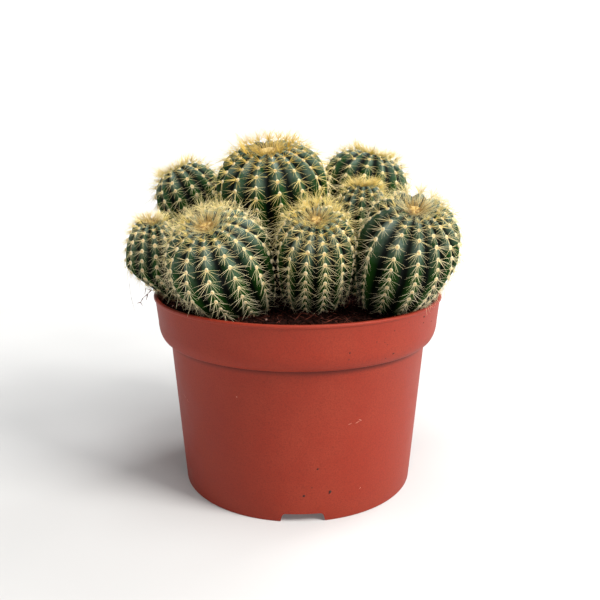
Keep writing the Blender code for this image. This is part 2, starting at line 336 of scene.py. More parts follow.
def cloud(tree, place, scale, detail, roughness):
    """Cloudy noise from 0 to 1, with about one cloud in each 1 / scale metres."""
    sockets = {"Vector": place, "Scale": scale, "Detail": detail, "Roughness": roughness}
    return add_node(tree, "ShaderNodeTexNoise", sockets).outputs["Fac"]


def ramp(tree, value, *stops):
    return add_node(tree, "ShaderNodeValToRGB", {"Fac": value}, stops).outputs["Color"]


def grey(level):
    return (level, level, level, 1.0)


def threshold(tree, value, low, high):
    """0 below the low value, 1 over the high one, and a straight rise between."""
    return ramp(tree, value, (low, grey(0.0)), (high, grey(1.0)))


def mix(tree, share, first, second, blend="MIX"):
    sockets = {0: share, 6: first, 7: second}
    return add_node(tree, "ShaderNodeMix", sockets, data_type="RGBA", blend_type=blend).outputs[2]


def product(tree, first, second):
    return add_node(tree, "ShaderNodeMath", {0: first, 1: second}, operation="MULTIPLY").outputs[0]


def spread_to(tree, value, low, high, new_low, new_high):
    """Carry the range low to high over to new_low to new_high."""
    sockets = {"Value": value, "From Min": low, "From Max": high, "To Min": new_low, "To Max": new_high}
    return add_node(tree, "ShaderNodeMapRange", sockets).outputs["Result"]


def relief(tree, height, strength, depth):
    """Fine relief for the shader's normal; the depth is in millimetres."""
    sockets = {"Strength": strength, "Distance": depth * MM, "Height": height}
    return add_node(tree, "ShaderNodeBump", sockets).outputs["Normal"]


def waxy_cactus_skin(colours):
    """Living skin under a thin wax: satin, green below, with grey-blue wax on the young flanks that is partly
    painted sheen, and painted shade in the grooves.
    """
    material, tree, place = new_material("waxy_cactus_skin")
    age = stored_value(tree, "age")
    groove = stored_value(tree, "groove")
    # Mottling about 9 mm across, and speckles of wax about 0.6 mm across.
    mottle = cloud(tree, place, 110.0, 5.0, 0.62)
    speckle = cloud(tree, place, 1600.0, 2.0, 0.7)
    # Painted shade: the skin darkens to near black towards the bottom of each groove.
    deep = threshold(tree, groove, 0.25, 0.80)
    fresh = ramp(tree, age, (0.25, [*colours.skin_green, 1.0]), (0.95, srgb("2A4C17")))
    skin = mix(tree, deep, fresh, [*colours.skin_deep, 1.0])
    # Grey-blue wax, partly painted sheen, on the young upper flanks near the crests.
    youth = ramp(tree, age, (0.0, grey(0.9)), (0.24, grey(0.75)), (0.48, grey(0.0)))
    patch = threshold(tree, mottle, 0.34, 0.66)
    flank = spread_to(tree, groove, 0.15, 0.85, 1.0, 0.12)
    bloom_and_sheen = product(tree, product(tree, youth, patch), flank)
    skin = mix(tree, bloom_and_sheen, skin, [*colours.skin_bloom, 1.0])
    dots = product(tree, threshold(tree, speckle, 0.62, 0.80), 0.10)
    skin = mix(tree, dots, skin, srgb("47703A"))
    # The thin, dry, paler edge of each rib between its areoles.
    edge = ramp(tree, groove, (0.0, grey(0.75)), (0.055, grey(0.0)))
    skin = mix(tree, edge, skin, srgb("A9A77C"))
    return close_material(material, {
        "Base Color": skin, "Roughness": spread_to(tree, mottle, 0.3, 0.7, 0.42, 0.58),
        "IOR": 1.42, "Specular IOR Level": 0.06, "Normal": relief(tree, speckle, 0.35, 0.25),
    })


def areole_felt():
    """Short matted plant wool: dull, cream at the edge and tan where the spines leave it."""
    material, tree, place = new_material("areole_felt")
    fibre = cloud(tree, place, 2600.0, 3.0, 0.7)
    wool = ramp(
        tree, stored_value(tree, "centre"),
        (0.0, srgb("EFE2BC")), (0.55, srgb("F0DDAC")), (1.0, srgb("DDB97C")),
    )
    old = ramp(tree, stored_value(tree, "age"), (0.3, grey(1.0)), (1.0, srgb("D9D0BC")))
    return close_material(material, {
        "Base Color": mix(tree, 0.8, wool, old, "MULTIPLY"), "Roughness": 0.9, "Sheen Weight": 0.4,
        "Normal": relief(tree, fibre, 0.8, 0.3),
    })


def spine_fibre():
    """Stiff dry spines: smooth and a little glossy, golden when young and straw-white when old."""
    material, tree, place = new_material("spine_fibre")
    colour = ramp(
        tree, stored_value(tree, "pale"),
        (0.0, srgb("EDC64E")), (0.3, srgb("F4DF88")), (0.65, srgb("FAEDB8")), (1.0, srgb("F3E9C4")),
    )
    tone = cloud(tree, place, 420.0, 2.0, 0.6)
    shade = ramp(tree, tone, (0.3, srgb("D6C6A0")), (0.6, grey(1.0)))
    return close_material(material, {
        "Base Color": mix(tree, 0.55, colour, shade, "MULTIPLY"), "Roughness": 0.45, "IOR": 1.5,
    })


def crown_wool_fibre():
    """Soft new wool and spine buds in the sunken crown: dull gold, brown-gold at its heart."""
    material, tree, place = new_material("crown_wool_fibre")
    fibre = cloud(tree, place, 1500.0, 3.0, 0.7)
    colour = ramp(
        tree, stored_value(tree, "centre"),
        (0.0, srgb("DCC47C")), (0.3, srgb("B48A28")), (0.6, srgb("8F6A16")), (1.0, srgb("664408")),
    )
    shade = ramp(tree, fibre, (0.3, srgb("A88A55")), (0.62, grey(1.0)))
    return close_material(material, {
        "Base Color": mix(tree, 0.7, colour, shade, "MULTIPLY"), "Roughness": 0.8, "Sheen Weight": 0.3,
        "Normal": relief(tree, fibre, 0.9, 0.4),
    })


def moulded_polypropylene(colours):
    """Injection-moulded polypropylene with a fine spark-eroded grain: matte, slightly dusty."""
    material, tree, place = new_material("moulded_polypropylene")
    # Grain about 0.7 mm across, drawn coarser than the real 0.1 mm so that it shows.
    grain = cloud(tree, place, 1500.0, 2.0, 0.6)
    dust = cloud(tree, place, 45.0, 6.0, 0.65)
    dust_share = product(tree, threshold(tree, dust, 0.40, 0.75), 0.10)
    plastic = mix(tree, dust_share, [*colours.pot, 1.0], srgb("B9684F"))
    grain_share = product(tree, threshold(tree, grain, 0.40, 0.70), 0.55)
    plastic = mix(tree, grain_share, plastic, srgb("6B1F10"))
    # Painted shade: a dark band on the wall just under the collar stands for the collar's shadow; the ramp
    # reads decimetres.
    upright = add_node(tree, "ShaderNodeSeparateXYZ", {"Vector": place}).outputs["Z"]
    collar_shadow_band = ramp(
        tree, product(tree, upright, 10.0),
        (0.850, grey(0.0)), (0.868, grey(0.4)), (0.8835, grey(0.95)), (0.8845, grey(0.0)),
    )
    plastic = mix(tree, collar_shadow_band, plastic, srgb("3A0B07"))
    # Specks of dirt that stick in a few patches.
    speck = add_node(tree, "ShaderNodeTexVoronoi", {"Vector": place, "Scale": 190.0, "Randomness": 1.0})
    dirt = ramp(tree, speck.outputs["Distance"], (0.05, grey(1.0)), (0.12, grey(0.0)))
    patches = threshold(tree, cloud(tree, place, 38.0, 1.0, 0.5), 0.66, 0.72)
    plastic = mix(tree, product(tree, dirt, patches), plastic, srgb("4A1E16"))
    return close_material(material, {
        "Base Color": plastic, "Roughness": spread_to(tree, dust, 0.3, 0.7, 0.46, 0.60),
        "IOR": 1.49, "Specular IOR Level": 0.25, "Normal": relief(tree, grain, 0.22, 0.15),
    })


def peat_crumb():
    """Damp peat: nearly black brown, fully dull, with rust-brown crumbs."""
    material, tree, place = new_material("peat_crumb")
    crumb = cloud(tree, place, 520.0, 6.0, 0.75)
    colour = ramp(tree, crumb, (0.30, srgb("0B0302")), (0.55, srgb("220B06")), (0.78, srgb("5C2514")))
    return close_material(material, {
        "Base Color": colour, "Roughness": 0.95, "Specular IOR Level": 0.1,
        "Normal": relief(tree, crumb, 1.0, 0.8),
    })


def dry_material(name, dark, light, roughness, scale):
    """A dull natural solid whose colour wanders between a dark and a light tone."""
    material, tree, place = new_material(name)
    tone = cloud(tree, place, scale, 3.0, 0.6)
    colour = ramp(tree, tone, (0.35, srgb(dark)), (0.65, srgb(light)))
    return close_material(material, {
        "Base Color": colour, "Roughness": roughness, "Normal": relief(tree, tone, 0.5, 0.2),
    })


def glowing_white_paper():
    """Matt white background paper with a painted glow that grows away from the plant, so that it stays white.
    """
    material, tree, place = new_material("glowing_white_paper")
    tone = cloud(tree, place, 5.0, 2.0, 0.5)
    colour = ramp(tree, tone, (0.3, srgb("BEBEBD")), (0.7, srgb("C6C6C5")))
    # Painted glow: the paper gives out light, more the farther it is from the plant.
    distance = add_node(tree, "ShaderNodeVectorMath", {0: place}, operation="LENGTH").outputs["Value"]
    glow = spread_to(tree, distance, 0.10, 1.1, 0.10, 0.72)
    return close_material(material, {
        "Base Color": colour, "Roughness": 0.95, "Emission Color": grey(1.0), "Emission Strength": glow,
    })


# ---------------------------------------------------------------- mesh helpers


def mesh_from(bm, name):
    """Turn a bmesh into a named mesh and free it."""
    mesh = bpy.data.meshes.new(name)
    bm.to_mesh(mesh)
    bm.free()
    return mesh


def add_object(name, data):
    item = bpy.data.objects.new(name, data)
    bpy.context.scene.collection.objects.link(item)
    return item


def finish_piece(name, shape, material, slot, nodes=(), crease=None, **values):
    """Make a bmesh or mesh a piece on the body, standing for CAD nodes, with numbers for each vertex."""
    mesh = shape if isinstance(shape, bpy.types.Mesh) else mesh_from(shape, name)
    mesh.materials.append(material)
    mesh.polygons.foreach_set("use_smooth", [True] * len(mesh.polygons))
    if crease:
        mesh.set_sharp_from_angle(angle=math.radians(crease))
    piece = add_object(name, mesh)
    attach(piece, BODY)
    if nodes:
        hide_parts(*nodes)
    for label, numbers in values.items():
        layer = mesh.attributes.new(label, "FLOAT", "POINT")
        layer.data.foreach_set("value", numbers)
    return piece


def revolve(profile, segments):
    """Spin a list of (radius, height) points in millimetres once round the Z axis."""
    bm = bmesh.new()
    verts = [bm.verts.new((radius * MM, 0.0, height * MM)) for radius, height in profile]
    edges = [bm.edges.new(pair) for pair in zip(verts, verts[1:])]
    bmesh.ops.spin(
        bm, geom=verts + edges, cent=(0.0, 0.0, 0.0), axis=(0.0, 0.0, 1.0),
        angle=2.0 * math.pi, steps=segments, use_merge=True,
    )
    bmesh.ops.remove_doubles(bm, verts=bm.verts[:], dist=1e-6)
    bmesh.ops.recalc_face_normals(bm, faces=bm.faces[:])
    return bm


# ---------------------------------------------------------------- shape of a stem


def axis_direction(stem):
    lean = math.radians(stem.lean)
    towards = math.radians(stem.towards)
    sideways = math.sin(lean)
    return Vector((sideways * math.cos(towards), sideways * math.sin(towards), math.cos(lean)))


def axis_sides(direction):
    """Two level-going directions square to a stem's axis and to each other."""
    side = (Vector((1.0, 0.0, 0.0)) - direction * direction.x).normalized()
    return side, direction.cross(side)


def stem_section(stem, latitude):
    """Crest radius and height along the axis, in millimetres, for a latitude in radians."""
    widest = stem.widest * stem.height
    if latitude >= 0.0:
        power = 2.0 / SHOULDER_EXPONENT
        radius = stem.radius * max(math.cos(latitude), 0.0) ** power
        height = widest + (stem.height - widest) * math.sin(latitude) ** power
        sink = CROWN_SINK * stem.height * math.exp(-((radius / (CROWN_PIT * stem.radius)) ** 2))
        return radius, height - sink
    below = -math.sin(latitude)
    radius = stem.radius * (stem.neck + (1.0 - stem.neck) * (1.0 - below**stem.taper))
    return radius, widest * (1.0 - below)


def place_on_axis(stem, radius, height, angle):
    """World point from a radius, a height and an angle round the stem's bent axis."""
    direction = axis_direction(stem)
    side, across = axis_sides(direction)
    widest = stem.widest * stem.height
    bend = max((widest - height) / widest, 0.0) ** FOOT_BEND_POWER
    centre = Vector((stem.x, stem.y, STEM_FOOT_Z)) + direction * height
    centre += Vector((stem.bend_x, stem.bend_y, 0.0)) * bend
    outward = side * math.cos(angle) + across * math.sin(angle)
    return (centre + outward * radius) * MM


def rib_angle(stem, even_angle):
    """Angle at which a rib or groove stands, from its place in an even division of the circle."""
    angle = even_angle + math.radians(stem.turn)
    return angle + stem.uneven * math.sin(angle - math.radians(stem.broad_side))


def groove_share(sizes, latitude):
    """Groove depth as a share of the radius: deep at the crown, shallow at the foot."""
    rise = 0.5 + 0.5 * math.sin(latitude)
    return sizes.foot_groove + (sizes.crown_groove - sizes.foot_groove) * rise**GROOVE_FADE_POWER


def groove_fraction(stem, even_angle):
    """0 on a rib's crest, 1 at the bottom of the groove beside it."""
    phase = even_angle * stem.ribs / (2.0 * math.pi)
    return abs(2.0 * (phase - round(phase)))


def crest_point(stem, latitude, even_angle):
    """Place on the skin over a rib's crest."""
    radius, height = stem_section(stem, latitude)
    return place_on_axis(stem, radius, height, rib_angle(stem, even_angle))


Areole = namedtuple("Areole", "place side up outward age radius")


def rib_areoles(stem, rib, sizes, rng):
    """The areoles of one rib from crown to soil, with their directions."""
    angle = 2.0 * math.pi * rib / stem.ribs
    steps = [math.radians(WALK_TOP - WALK_STEP * i) for i in range(WALK_COUNT)]
    points = [crest_point(stem, latitude, angle) for latitude in steps]
    lengths = [0.0]
    for before, after in zip(points, points[1:]):
        lengths.append(lengths[-1] + (after - before).length)
    total = lengths[-1]
    start = stem.tuft * stem.radius * MM * 0.75
    wanted = start + (ROW_STAGGER * MM if rib % 2 else 0.0) + rng.uniform(0.0, 0.8) * MM
    found = []
    for index in range(1, len(points) - 1):
        if lengths[index] < wanted:
            continue
        place = points[index]
        if place.z < (SOIL_EDGE_Z + 1.0) * MM:
            break
        up = (points[index - 1] - points[index + 1]).normalized()
        latitude = steps[index]
        side = crest_point(stem, latitude, angle + 0.02) - crest_point(stem, latitude, angle - 0.02)
        side.normalize()
        outward = side.cross(up).normalized()
        if outward.dot(place - place_on_axis(stem, 0.0, stem_section(stem, latitude)[1], 0.0)) < 0.0:
            outward = -outward
        age = lengths[index] / total
        radius = stem_section(stem, latitude)[0] / stem.radius
        found.append(Areole(place, side, up, outward, age, radius))
        grown = min(max((lengths[index] - start) / (YOUNG_LENGTH * MM), 0.0), 1.0)
        tight = 1.0 - 0.55 * max(age - 0.6, 0.0)
        share = YOUNG_SPACING_SHARE + (1.0 - YOUNG_SPACING_SHARE) * grown
        spacing = share * sizes.areole_spacing * tight
        wanted = lengths[index] + spacing * rng.uniform(0.93, 1.07)
    return found


def all_areoles(stem, sizes):
    rng = random.Random(f"{sizes.seed} areoles {stem.name}")
    return [areole for rib in range(stem.ribs) for areole in rib_areoles(stem, rib, sizes, rng)]


# ---------------------------------------------------------------- pieces


def stem_balls(stem):
    """A row of balls up the stem's axis that together fill it, for measuring gaps."""
    balls = []
    for latitude in BALL_LATITUDES:
        radius, height = stem_section(stem, math.radians(latitude))
        balls.append((place_on_axis(stem, 0.0, height, 0.0) / MM, radius))
    return balls


STEM_BALLS = {stem.name: stem_balls(stem) for stem in STEMS}


def make_stem_skin(stem, sizes, material):
    """Ribbed skin: a globe drawn into acute ribs, with a crease along the bottom of each groove."""
    bm = bmesh.new()
    columns = COLUMNS_PER_RIB * stem.ribs
    bmesh.ops.create_uvsphere(bm, u_segments=columns, v_segments=SKIN_ROWS, radius=1.0)
    ages = []
    grooves = []
    for vert in bm.verts:
        latitude = math.asin(max(-1.0, min(1.0, vert.co.z)))
        angle = math.atan2(vert.co.y, vert.co.x)
        groove = groove_fraction(stem, angle)
        radius, height = stem_section(stem, latitude)
        if abs(vert.co.z) > 0.9999:
            radius = 0.0
        depth = groove_share(sizes, latitude)
        crest_round = math.sqrt(groove * groove + CREST_ROUNDING) - math.sqrt(CREST_ROUNDING)
        crease = CREASE_DEPTH * math.exp(-(((1.0 - groove) / CREASE_WIDTH) ** 2))
        wobble = noise.noise(Vector((math.cos(angle), math.sin(angle), vert.co.z)) * 2.2 + SHIFT * stem.x)
        radius *= 1.0 - depth * (crest_round + crease) + SKIN_WOBBLE * wobble
        vert.co = place_on_axis(stem, radius, height, rib_angle(stem, angle))
        ages.append(0.5 - latitude / math.pi)
        grooves.append(groove)
    bmesh.ops.recalc_face_normals(bm, faces=bm.faces[:])
    finish_piece(
        "skin_" + stem.name, bm, material, "cactus_skin", nodes=["stem_" + stem.name],
        age=ages, groove=grooves,
    )


def make_pad(width):
    """One pad of areole wool: a low dome, a little longer than wide."""
    bm = bmesh.new()
    bmesh.ops.create_uvsphere(bm, u_segments=8, v_segments=6, radius=0.5 * width)
    bmesh.ops.scale(bm, vec=(0.9, 1.12, 0.55), verts=bm.verts[:])
    return mesh_from(bm, "pad")


def areole_matrix(areole, scale, lift):
    """Stands a small mesh on an areole: its X sideways, its Y up the rib, its Z outwards."""
    columns = Matrix((areole.side, areole.up, areole.outward)).transposed().to_4x4()
    place = areole.place + areole.outward * lift
    return Matrix.Translation(place) @ columns @ Matrix.Scale(scale, 4)


def append_copy(bm, source, matrix):
    """Add a transformed copy of a mesh to a bmesh."""
    copy = source.copy()
    copy.transform(matrix)
    bm.from_mesh(copy)
    bpy.data.meshes.remove(copy)


def needle_matrix(root, direction, width, length):
    """Stands the unit needle on its root along a direction, with its root radius and its length."""
    turn = Z_AXIS.rotation_difference(direction).to_matrix().to_4x4()
    return Matrix.Translation(root) @ turn @ Matrix.Diagonal((width, width, length, 1.0))


def make_areole_pads(stem, sizes, material):
    pad = make_pad(sizes.areole_width)
    pad_heights = [max(vert.co.z, 0.0) for vert in pad.vertices]
    pad_values = [value / max(pad_heights) for value in pad_heights]
    rng = random.Random(f"{sizes.seed} pads {stem.name}")
    bm = bmesh.new()
    ages = []
    centres = []
    for areole in all_areoles(stem, sizes):
        if areole.age < PAD_FIRST_AGE:
            continue
        young = min(areole.age / 0.22, 1.0)
        scale = (0.55 + 0.45 * young) * rng.uniform(0.88, 1.08) * (1.0 - 0.25 * max(areole.age - 0.5, 0.0))
        append_copy(bm, pad, areole_matrix(areole, scale, 0.1 * MM))
        ages += [areole.age] * len(pad_values)
        centres += pad_values
    bpy.data.meshes.remove(pad)
    finish_piece("areoles_" + stem.name, bm, material, "crown_wool", age=ages, centre=centres)


def make_needle():
    """A three-sided spine of unit length and unit root radius, standing on the origin along +Z."""
    bm = bmesh.new()
    bmesh.ops.create_cone(
        bm, cap_ends=True, segments=3, radius1=1.0, radius2=SPINE_TIP_SHARE, depth=1.0
    )
    bmesh.ops.translate(bm, vec=(0.0, 0.0, 0.5), verts=bm.verts[:])
    long_edges = [e for e in bm.edges if abs(e.verts[0].co.z - e.verts[1].co.z) > 0.5]
    bmesh.ops.subdivide_edges(bm, edges=long_edges, cuts=2)
    return mesh_from(bm, "needle")


def add_spine(bm, needle, direction, length, width, sag):
    """Append one spine that leaves the origin along a direction and bends by the sag at its tip."""
    copy = needle.copy()
    copy.transform(needle_matrix(Vector(), direction, 0.5 * width, length))
    for vert in copy.vertices:
        along = vert.co.dot(direction) / length
        vert.co += sag * length * along * along
    bm.from_mesh(copy)
    bpy.data.meshes.remove(copy)


def aim(around, lift):
    """Unit direction from an angle in the skin's plane and a lift off it, both in degrees."""
    turn = math.radians(around)
    rise = math.radians(lift)
    return Vector((math.cos(turn) * math.cos(rise), math.sin(turn) * math.cos(rise), math.sin(rise)))


def make_tuft(needle, spread, sizes, rng):
    """One areole's spines: X sideways, Y up the rib, Z outwards."""
    bm = bmesh.new()
    for side in (0.0, 180.0):
        for index in range(spread.side):
            share = (index + rng.uniform(0.1, 0.9)) / spread.side
            swing = -spread.down + (spread.down + spread.up) * share
            around = swing if side == 0.0 else side - swing
            lift = rng.uniform(spread.low, spread.high)
            length = sizes.spine_length * spread.reach * rng.uniform(0.68, 1.08)
            sag = Vector((0.0, rng.uniform(-0.10, 0.03), rng.uniform(-0.07, 0.02)))
            width = sizes.spine_width * rng.uniform(0.7, 0.95)
            add_spine(bm, needle, aim(around, lift), length, width, sag)
    for _ in range(spread.middle):
        around = rng.uniform(190.0, 350.0)
        lift = rng.uniform(spread.middle_low, spread.middle_high)
        length = sizes.spine_length * rng.uniform(0.95, 1.45)
        sag = Vector((0.0, rng.uniform(-0.10, 0.02), -0.04))
        width = sizes.spine_width * rng.uniform(0.95, 1.15)
        add_spine(bm, needle, aim(around, lift), length, width, sag)
    return mesh_from(bm, "tuft")


def gap_to_other_stems(stem, place):
    """Roughly how far a point of one stem is from the nearest other stem, in millimetres."""
    point = place / MM
    gap = math.inf
    for other, balls in STEM_BALLS.items():
        if other == stem.name:
            continue
        for centre, radius in balls:
            gap = min(gap, (point - centre).length - radius)
    return gap


def add_brush_spine(bm, needle, stem, sizes, share, rng):
    """Add one spine of the brush round the crown, leaning outwards; gives its number of vertices."""
    latitude = math.radians(BRUSH_LOW + (BRUSH_HIGH - BRUSH_LOW) * math.sqrt(rng.random()))
    angle = rng.uniform(-math.pi, math.pi)
    radius, height = stem_section(stem, latitude)
    depth = groove_share(sizes, latitude) * groove_fraction(stem, angle)
    turned = rib_angle(stem, angle)
    root = place_on_axis(stem, radius * (1.0 - depth), height, turned)
    outward = (root - place_on_axis(stem, 0.0, height, 0.0)).normalized()
    lean = axis_direction(stem) + outward * rng.uniform(0.45, 1.5)
    lean = (lean + Vector([rng.uniform(-0.25, 0.25) for _ in range(3)])).normalized()
    length = sizes.spine_length * share * rng.uniform(0.6, 1.1)
    width = 0.5 * sizes.spine_width * rng.uniform(0.6, 0.9)
    append_copy(bm, needle, needle_matrix(root, lean, width, length))
    return len(needle.vertices)


def make_spines(stem, sizes, needle, tufts, material):
    """All the spines of one stem, golden at the crown and paler towards the soil."""
    rng = random.Random(f"{sizes.seed} spines {stem.name}")
    bm = bmesh.new()
    pales = []
    golden = GOLDEN.get(stem.name, USUAL_GOLD)
    share = SPINE_SHARE.get(stem.name, 1.0)
    for areole in all_areoles(stem, sizes):
        age = areole.age + rng.uniform(-0.03, 0.03)
        kind = next(kind for kind, spread in SPREADS.items() if age < spread.until)
        tuft = rng.choice(tufts[kind])
        scale = share * rng.uniform(0.88, 1.08)
        gap = gap_to_other_stems(stem, areole.place)
        if gap < WORN_GAP and rng.random() < WORN_SHARE:
            continue
        if gap < SHORT_GAP:
            scale *= SHORT_SCALE
        append_copy(bm, tuft, areole_matrix(areole, scale, 0.3 * MM))
        pale = 0.42 + 1.2 * age - 0.42 * golden
        pales += [pale + rng.uniform(-0.12, 0.12)] * len(tuft.vertices)
    for _ in range(int(BRUSH_SPINES_PER_MM * stem.radius * (BRUSH_PALE_STEM - golden))):
        pale = 0.85 - 0.72 * golden + rng.uniform(-0.15, 0.15)
        pales += [pale] * add_brush_spine(bm, needle, stem, sizes, share, rng)
    finish_piece("spines_" + stem.name, bm, material, "crown_wool", pale=pales)


def make_crown(stem, sizes, needle, material):
    """Wool cushion in the sunken crown with short upright spine buds standing in it."""
    rng = random.Random(f"{sizes.seed} crown {stem.name}")
    half_width = stem.tuft * stem.radius
    half_height = CUSHION_FLATNESS * half_width
    depth_of_colour = WOOL_DARKEST - WOOL_GOLD_FADE * GOLDEN.get(stem.name, USUAL_GOLD)
    floor_height = stem_section(stem, math.radians(89.9))[1]
    bm = bmesh.new()
    bmesh.ops.create_uvsphere(bm, u_segments=28, v_segments=14, radius=1.0)
    centres = []
    for vert in bm.verts:
        spread = math.hypot(vert.co.x, vert.co.y)
        angle = math.atan2(vert.co.y, vert.co.x)
        dimple = DIMPLE_DEPTH * math.exp(-((spread / DIMPLE_WIDTH) ** 2)) if vert.co.z > 0.0 else 0.0
        lump = CUSHION_LUMPS * noise.noise(vert.co * 5.0 + SHIFT * stem.y)
        height = floor_height + half_height * (CUSHION_RISE + vert.co.z - dimple + lump)
        centres.append(max(1.0 - spread, 0.0) * depth_of_colour)
        vert.co = place_on_axis(stem, half_width * spread * (1.0 + lump), height, angle)
    direction = axis_direction(stem)
    side, across = axis_sides(direction)
    for _ in range(int(FEWEST_HAIRS + HAIRS_PER_SQUARE_MM * half_width**2)):
        spread = math.sqrt(rng.uniform(0.15, 1.0))
        angle = rng.uniform(-math.pi, math.pi)
        root = place_on_axis(stem, half_width * spread, floor_height + 0.5 * half_height, angle)
        outward = side * math.cos(angle) + across * math.sin(angle)
        tilt = rng.uniform(-0.2, 0.25) + 0.95 * spread
        lean = (direction + outward * tilt).normalized()
        length = (1.6 + 4.2 * spread * rng.uniform(0.6, 1.2)) * MM
        append_copy(bm, needle, needle_matrix(root, lean, HAIR_RADIUS * MM, length))
        depth = (0.2 * (1.0 - spread) + rng.uniform(0.0, 0.1)) * depth_of_colour
        centres += [depth] * len(needle.vertices)
    bmesh.ops.recalc_face_normals(bm, faces=bm.faces[:])
    finish_piece(
        "crown_" + stem.name, bm, material, "crown_wool", nodes=["crown_wool_" + stem.name],
        centre=centres,
    )


def outer_body_radius(height):
    """Radius of the pot's tapering outer wall below the collar."""
    share = height / COLLAR_LOWER_Z
    return FOOT_RADIUS + (BODY_TOP_RADIUS - FOOT_RADIUS) * share


def collar_points(inset, steps):
    """The collar's rounded shoulder from its lower edge up, drawn inwards by the inset."""
    points = []
    rise = POT_HEIGHT - COLLAR_DROP - COLLAR_LOWER_Z
    run = COLLAR_RADIUS - COLLAR_LOWER_RADIUS
    for step in range(steps + 1):
        angle = 0.5 * math.pi * step / steps
        radius = COLLAR_LOWER_RADIUS + run * math.sin(angle) - inset
        height = COLLAR_LOWER_Z + rise * (1.0 - math.cos(angle))
        points.append((radius, height))
    return points


def arc(centre_radius, centre_height, size, first, last, steps):
    """Points of a small rounding, angles in degrees from outwards, anticlockwise in the section."""
    points = []
    for step in range(steps + 1):
        angle = math.radians(first + (last - first) * step / steps)
        points.append((centre_radius + size * math.cos(angle), centre_height + size * math.sin(angle)))
    return points


def pot_profile():
    """Section of the pot from the middle of its underside, out, up, over the lip and back in."""
    top_radius = RIM_RADIUS - LIP_STAND_OUT
    lip_lower_z = POT_HEIGHT - LIP_HEIGHT
    floor_top = FLOOR_UNDERSIDE_Z + WALL
    foot_inner = FOOT_RADIUS - FOOT_RING_WIDTH
    lip_round = 0.7
    profile = [(0.0, FLOOR_UNDERSIDE_Z), (foot_inner - 0.6, FLOOR_UNDERSIDE_Z)]
    profile += [(foot_inner, FLOOR_UNDERSIDE_Z - 0.6), (foot_inner, 0.2), (foot_inner + 0.2, 0.0)]
    profile += arc(FOOT_RADIUS - 0.6, 0.6, 0.6, -90.0, -4.0, 4)
    profile += [(outer_body_radius(20.0), 20.0), (outer_body_radius(50.0), 50.0)]
    profile += [(BODY_TOP_RADIUS - 0.05, COLLAR_LOWER_Z - 0.7), (BODY_TOP_RADIUS + 0.2, COLLAR_LOWER_Z - 0.1)]
    profile += [(COLLAR_LOWER_RADIUS - 0.5, COLLAR_LOWER_Z - 0.15)]
    profile += collar_points(0.0, 12)
    profile += [(top_radius - 0.1, lip_lower_z - 0.5), (top_radius, lip_lower_z - 0.1)]
    profile += arc(RIM_RADIUS - lip_round, lip_lower_z + lip_round, lip_round, -90.0, 0.0, 4)
    profile += arc(RIM_RADIUS - lip_round, POT_HEIGHT - lip_round, lip_round, 0.0, 90.0, 5)
    profile += arc(top_radius - WALL + 0.5, POT_HEIGHT - 0.5, 0.5, 90.0, 180.0, 4)
    profile += collar_points(WALL, 8)[::-1]
    profile += [(BODY_TOP_RADIUS - WALL, COLLAR_LOWER_Z - 1.2)]
    profile += [(outer_body_radius(floor_top) - WALL, floor_top + 0.8)]
    profile += [(outer_body_radius(floor_top) - WALL - 0.8, floor_top), (0.0, floor_top)]
    return profile


def make_notch_cutter(angle):
    """Block that cuts one drainage notch through the foot ring, with rounded upper corners."""
    bm = bmesh.new()
    bmesh.ops.create_cube(bm, size=1.0)
    for vert in bm.verts:
        upper = vert.co.z > 0.0
        width = NOTCH_TOP_WIDTH if upper else NOTCH_BOTTOM_WIDTH
        vert.co.x = (FOOT_RADIUS - 1.0 + vert.co.x * NOTCH_DEPTH) * MM
        vert.co.y = vert.co.y * width * MM
        vert.co.z = (NOTCH_HEIGHT if upper else -1.0) * MM
    corners = [
        edge for edge in bm.edges
        if min(v.co.z for v in edge.verts) > 0.0 and abs(edge.verts[0].co.y - edge.verts[1].co.y) < 1e-6
    ]
    bmesh.ops.bevel(
        bm, geom=corners, offset=NOTCH_CORNER * MM, segments=5, profile=0.5, affect="EDGES", material=-1,
    )
    bmesh.ops.rotate(bm, verts=bm.verts[:], matrix=Matrix.Rotation(angle, 3, "Z"))
    bmesh.ops.recalc_face_normals(bm, faces=bm.faces[:])
    return add_object("notch_cutter", mesh_from(bm, "notch_cutter"))


def make_pot(material):
    """The moulded pot with its notches cut for good."""
    blank = add_object("pot_blank", mesh_from(revolve(pot_profile(), POT_SEGMENTS), "pot_blank"))
    cutters = []
    for index in range(NOTCH_COUNT):
        cutter = make_notch_cutter(NOTCH_FIRST_ANGLE + 2.0 * math.pi * index / NOTCH_COUNT)
        modifier = blank.modifiers.new("notch", "BOOLEAN")
        modifier.operation = "DIFFERENCE"
        modifier.solver = "EXACT"
        modifier.object = cutter
        cutters.append(cutter)
    bpy.context.view_layer.update()
    graph = bpy.context.evaluated_depsgraph_get()
    cut_mesh = bpy.data.meshes.new_from_object(blank.evaluated_get(graph))
    for helper in [blank, *cutters]:
        bpy.data.objects.remove(helper, do_unlink=True)
    cut_mesh.materials.clear()
    finish_piece("nursery_pot", cut_mesh, material, "pot_plastic", nodes=["pot"], crease=32.0)


def outer_wall_radius(height):
    """Outer radius of the pot at a height, on the body or on the collar."""
    if height < COLLAR_LOWER_Z:
        return outer_body_radius(height)
    shoulder_top = POT_HEIGHT - COLLAR_DROP
    if height < shoulder_top:
        angle = math.acos(1.0 - (height - COLLAR_LOWER_Z) / (shoulder_top - COLLAR_LOWER_Z))
        return COLLAR_LOWER_RADIUS + (COLLAR_RADIUS - COLLAR_LOWER_RADIUS) * math.sin(angle)
    share = (height - shoulder_top) / (POT_HEIGHT - LIP_HEIGHT - shoulder_top)
    return COLLAR_RADIUS + (RIM_RADIUS - LIP_STAND_OUT - COLLAR_RADIUS) * share


